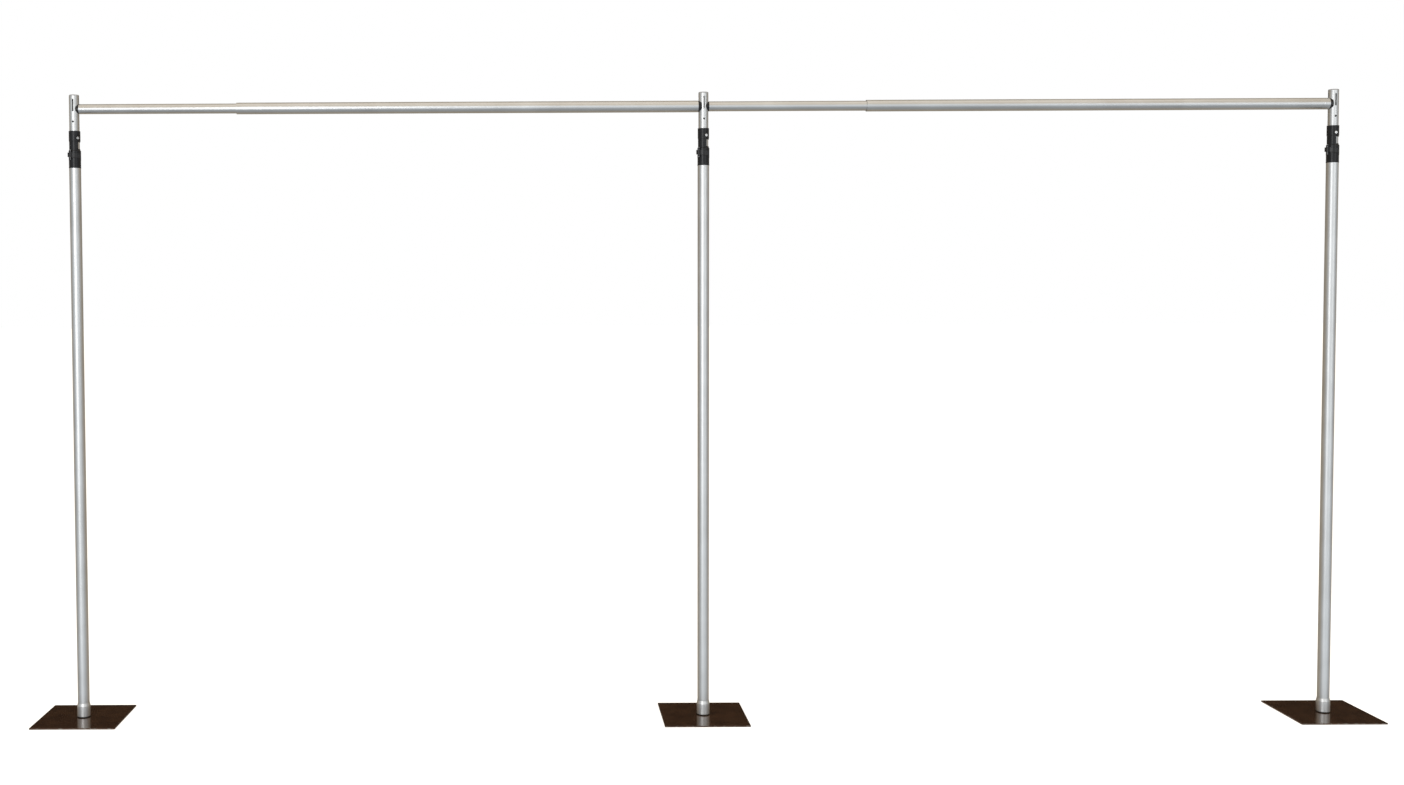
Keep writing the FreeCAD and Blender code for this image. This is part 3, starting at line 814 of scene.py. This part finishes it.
body = lathe("lock", lock_outline())
combine(body, "UNION", lug(KNUCKLE_LOW - LUG_GAP - LUG_HEIGHT, KNUCKLE_LOW - LUG_GAP),
        lug(KNUCKLE_HIGH + LUG_GAP, KNUCKLE_HIGH + LUG_GAP + LUG_HEIGHT), cam_ear(), boss())
combine(body, "DIFFERENCE", window_tool())
soften(body, 0.45)
pocket = rod("pocket", POCKET_R, KNUCKLE_LOW - LUG_GAP, KNUCKLE_HIGH + LUG_GAP, (PIN_PLACE, 0))
pin_way = rod("way", PIN_R, KNUCKLE_LOW - 12, KNUCKLE_HIGH + 12, (PIN_PLACE, 0))
slit = block("slit", (LOCK_BORE / 2, SLEEVE_R + 0.6), (SLIT_FROM, SLIT_TO), (BARREL_LOW, RING_LOW - 3.0))
combine(body, "DIFFERENCE", *(facing(tool, PIN_AZIMUTH) for tool in (pocket, pin_way, slit)))
soften(body, 0.12, 1)
place_everywhere(body, "lock_body", black_nylon, LOCK_TURN)

# %% [markdown]
# ## Flip lever
#
# The lever is a bent arm with a cam at its knuckle. The arm is a small upright rectangle spun part of the way
# round the lock, then sheared so that it slopes down to its tip. A sunk panel on its outer face keeps the
# moulding thin, and a lip at the tip gives the thumb something to pull.

# %% Lever
LEVER_IN = SLEEVE_R + 0.6
LEVER_OUT = LEVER_IN + 2.8
LEVER_HALF = 9.75
LEVER_MIDDLE = (KNUCKLE_LOW + KNUCKLE_HIGH) / 2
LEVER_SLOPE = math.tan(math.radians(7.0))
PANEL_FROM, PANEL_TO = 22.0, 74.0
PANEL_MARGIN, PANEL_DEPTH = 2.2, 0.7
TIP_R = 3.2
TIP_RISE = 1.2


def lever_arm():
    """The arm, with a sunk panel on its outside."""
    bm = bmesh.new()
    low, high = LEVER_MIDDLE - LEVER_HALF, LEVER_MIDDLE + LEVER_HALF
    corners = [bm.verts.new((r * MM, 0, z * MM)) for r, z in
               ((LEVER_IN, low), (LEVER_OUT, low), (LEVER_OUT, high), (LEVER_IN, high))]
    face = bm.faces.new(corners)
    bmesh.ops.spin(bm, geom=[face, *face.edges, *face.verts], axis=(0, 0, 1), cent=(0, 0, 0),
                   angle=math.radians(LEVER_TO - PIN_AZIMUTH), steps=36)
    bmesh.ops.recalc_face_normals(bm, faces=bm.faces)
    outside = []
    for side in bm.faces:
        middle_point = side.calc_center_median()
        angle = math.degrees(math.atan2(middle_point.y, middle_point.x))
        outwards = Vector((middle_point.x, middle_point.y, 0)).normalized()
        if side.normal.dot(outwards) > 0.9 and PANEL_FROM < angle < PANEL_TO:
            outside.append(side)
    bmesh.ops.inset_region(bm, faces=outside, thickness=PANEL_MARGIN * MM, depth=-PANEL_DEPTH * MM,
                           use_even_offset=True)
    return facing(stand_alone(bm, "arm"), PIN_AZIMUTH)


arm = lever_arm()
tip_place = LEVER_OUT - TIP_R + TIP_RISE
tip = rod("tip", TIP_R, LEVER_MIDDLE - LEVER_HALF, LEVER_MIDDLE + LEVER_HALF, (tip_place, 0))
combine(arm, "UNION", facing(tip, LEVER_TO))
combine(arm, "DIFFERENCE", rod("clear", LEVER_IN, LEVER_MIDDLE - 20, LEVER_MIDDLE + 20, segments=ROUND_STEPS))
shear = Matrix.Identity(4)
shear[2][0] = -LEVER_SLOPE
shear[2][3] = LEVER_SLOPE * PIN_PLACE * math.sin(math.radians(PIN_AZIMUTH)) * MM
arm.data.transform(shear)
knuckle = rod("knuckle", KNUCKLE_R, KNUCKLE_LOW, KNUCKLE_HIGH, (PIN_PLACE, -CAM_THROW))
combine(arm, "UNION", facing(knuckle, PIN_AZIMUTH))
pin_hole = rod("hole", PIN_R + 0.1, KNUCKLE_LOW - 2, KNUCKLE_HIGH + 2, (PIN_PLACE, 0))
combine(arm, "DIFFERENCE", facing(pin_hole, PIN_AZIMUTH))
soften(arm, 0.5)
place_everywhere(arm, "lock_lever", lever_nylon_painted_highlight, LOCK_TURN)

# %% [markdown]
# ## Pin and screw
#
# The lever turns on a pin with a flat head at each end. The ring's screw has a socket head. Both are turned
# parts, so they are spun, and the screw's hexagon socket is cut with a six-sided rod.

# %% Lever pin
HEAD, HEAD_R, HEAD_BREAK = 1.2, 3.4, 0.4

low, high = span("centre_lever_pin")
pin = lathe("pin", [(0, low), (HEAD_R - HEAD_BREAK, low), (HEAD_R, low + 0.5), (HEAD_R, low + HEAD),
                    (PIN_R, low + HEAD), (PIN_R, high - HEAD), (HEAD_R, high - HEAD), (HEAD_R, high - 0.5),
                    (HEAD_R - HEAD_BREAK, high), (0, high)])
pin.data.transform(Matrix.Translation((PIN_PLACE * MM, 0, 0)))
soften(facing(pin, PIN_AZIMUTH), 0.15)
place_everywhere(pin, "lever_pin", bright_steel, LOCK_TURN)

# %% Drag screw
SHANK_R, SHANK_GAP = 3.0, 0.35
SCREW_HEAD_R, SCREW_HEAD, SCREW_CHAMFER = 5.2, 5.5, 0.8
KEY_R, KEY_FLOOR = 2.5, 2.5

seat = RING_R + BOSS_RISE
tip_face = THIN_R + SHANK_GAP
screw = lathe("screw", [(0, tip_face), (SHANK_R, tip_face), (SHANK_R, seat), (SCREW_HEAD_R, seat),
                        (SCREW_HEAD_R, seat + SCREW_HEAD - SCREW_CHAMFER),
                        (SCREW_HEAD_R - SCREW_CHAMFER, seat + SCREW_HEAD), (0, seat + SCREW_HEAD)])
combine(screw, "DIFFERENCE", rod("key", KEY_R, seat + KEY_FLOOR, seat + 7, segments=6))
soften(screw, 0.2)
turn(screw, 90, "Y")
screw.data.transform(Matrix.Translation((0, 0, SCREW_HEIGHT * MM)))
place_everywhere(facing(screw, SCREW_AZIMUTH), "drag_screw", bright_steel, LOCK_TURN)

# %% [markdown]
# ## Crossbar ends
#
# Each crossbar tube is closed by a moulded plug. Its nose is hollowed to sit round the post, and a pocket in it
# holds the steel hook. The plug is spun, turned on its side, and cut with the shapes of the post and the hook.
# In each bay the thin tube starts at the left post and the thick tube ends at the right one, so the thick
# plugs are turned half round.

# %% End plugs
SADDLE_GAP = 0.4
NOSE_DEPTH = 9.5
PLUG_LENGTH = 45.0
HOOK_POCKET = 40.0
HOOK_HEEL, HOOK_CROWN = 14.7, 10.0
HOOK_PIN_PLACE = 21.0
HOOK_PIN_WAY = 2.1


def end_plug(end, tube_radius):
    """A plug for a crossbar that runs along +X from a post at the origin."""
    start = (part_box(f"left_bar_{end}_tube")[0].x - POST_X["left"]) / MM
    if end == "thick":
        start = (POST_X["centre"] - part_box("left_bar_thick_tube")[1].x) / MM
    nose_end = THIN_R - NOSE_DEPTH
    nose, shank = radius(f"left_bar_{end}_plug"), tube_radius - TUBE_WALL - PLUG_PLAY
    plug = lathe(end + "_plug", [(0, nose_end), (nose, nose_end), (nose, start), (shank, start),
                                 (shank, start + PLUG_LENGTH - 1), (shank - 1, start + PLUG_LENGTH),
                                 (0, start + PLUG_LENGTH)])
    turn(plug, 90, "Y")
    hook_half = radius(f"left_bar_{end}_hook")
    pocket = block("pocket", (0, start + HOOK_POCKET), (-hook_half, hook_half), (-HOOK_HEEL, HOOK_CROWN))
    pin = turn(rod("pin", HOOK_PIN_WAY, -30, 30), 90, "X")
    pin.data.transform(Matrix.Translation(((start + HOOK_PIN_PLACE) * MM, 0, 0)))
    combine(plug, "DIFFERENCE", rod("post", THIN_R + SADDLE_GAP, -40, 40, segments=ROUND_STEPS), pocket, pin)
    plug.data.transform(Matrix.Translation((0, 0, BAR_Z)))
    return soften(plug, 0.3, 2)


BAR_ENDS = {"left": {"thin": "left", "thick": "centre"}, "right": {"thin": "centre", "thick": "right"}}
for end, tube_radius, degrees in (("thin", THIN_R, 0.0), ("thick", THICK_R, 180.0)):
    plug = end_plug(end, tube_radius)
    for bay in BAYS:
        post = BAR_ENDS[bay][end]
        place_copy(plug, f"{bay}_bar_{end}_plug", black_nylon, POST_X[post], degrees)
    discard(plug)

# %% [markdown]
# ## Floor and light
#
# Metal shows what surrounds it more than what lights it. The surroundings are therefore described by direction:
# bright in front, dimmer at the sides, pale underfoot as over a light floor, and a little brighter overhead.
# Just above the horizon behind the stand they are dark, because that is what the glossy plates mirror towards
# the camera. What the camera sees directly is plain white. The floor gives a little light of its own, so it
# stays pale out to the horizon, and metal doesn't mirror it.
#
# Three soft lamps add shape: a large key from the front left, a weaker fill from the front right, and a wide
# one above. They give each tube a soft highlight between grey edges.

# %% Floor
FLOOR_REACH = 60.0
FLOOR_GLOW = 0.70

bpy.context.scene.view_settings.view_transform = "Standard"
floor = bpy.data.objects.new("floor", bpy.data.meshes.new("floor"))
bpy.context.collection.objects.link(floor)
bm = bmesh.new()
bmesh.ops.create_grid(bm, x_segments=1, y_segments=1, size=FLOOR_REACH)
bm.to_mesh(floor.data)
bm.free()
floor_finish = Finish("pale_floor", Roughness=0.9, IOR=1.1, Emission_Strength=FLOOR_GLOW)
mottle = floor_finish.noise(floor_finish.place, 3.0)
floor_finish.feed("Base Color", floor_finish.mix(mottle, grey(0.88), grey(0.92)))
floor_finish.shader.inputs["Emission Color"].default_value = grey(1.0)
floor.data.materials.append(floor_finish.material)
floor.visible_glossy = False
print("floor laid")

# %% Surroundings
FRONT, SIDE, BEHIND, OVERHEAD, UNDERFOOT = 0.52, 0.14, 0.34, 0.20, 0.42
COOL = (0.90, 0.96, 1.0, 1.0)
WARM = (1.0, 0.87, 0.68, 1.0)
OPENING_SHADE = 0.96

world = bpy.data.worlds.new("studio")
bpy.context.scene.world = world
world.use_nodes = True
world.node_tree.nodes.clear()
room = Graph(world.node_tree)
direction = room.node("TexCoord", output="Generated")
forward = 0.0 - room.part(direction, "Y")
upward = room.part(direction, "Z")
walls = forward.above(-0.6, 0.4) * SIDE + forward.above(0.45, 1.0) * FRONT + (BEHIND - UNDERFOOT)
level = upward.above(-0.75, 0.05) * walls + upward.above(0.35, 0.95) * OVERHEAD + UNDERFOOT
opening = upward.above(0.05, 0.15) * (1.0 - upward.above(0.50, 0.75)) * (1.0 - forward.above(-0.85, -0.55))
level = level * (1.0 - opening * OPENING_SHADE)
tint = room.mix(forward.above(-0.5, 0.5) * (1.0 - upward.above(0.1, 0.7)), WARM, COOL)
camera_ray = room.node("LightPath", output="Is Camera Ray")
level = level * (1.0 - camera_ray) + camera_ray
glow = room.node("Background", Color=room.mix(camera_ray, tint, grey(1.0)), Strength=level)
room.node("OutputWorld", Surface=glow, output=None)
print("surroundings made")


# %% Lamps
def softbox(name, place, aim, width, height, power):
    """A rectangular lamp that faces a point."""
    lamp = bpy.data.lights.new(name, "AREA")
    lamp.shape = "RECTANGLE"
    lamp.size = width
    lamp.size_y = height
    lamp.energy = power
    holder = bpy.data.objects.new(name, lamp)
    holder.location = place
    holder.rotation_euler = (Vector(aim) - Vector(place)).to_track_quat("-Z", "Y").to_euler()
    bpy.context.collection.objects.link(holder)


softbox("key", (-3.2, -7.0, 2.4), (0, 0, 1.2), 2.6, 4.5, 95)
softbox("fill", (5.5, -6.5, 2.6), (0, 0, 1.2), 2.0, 5.0, 25)
softbox("top", (0, -1.0, 6.5), (0, 0, 0), 9.0, 4.0, 45)
print("lamps placed")
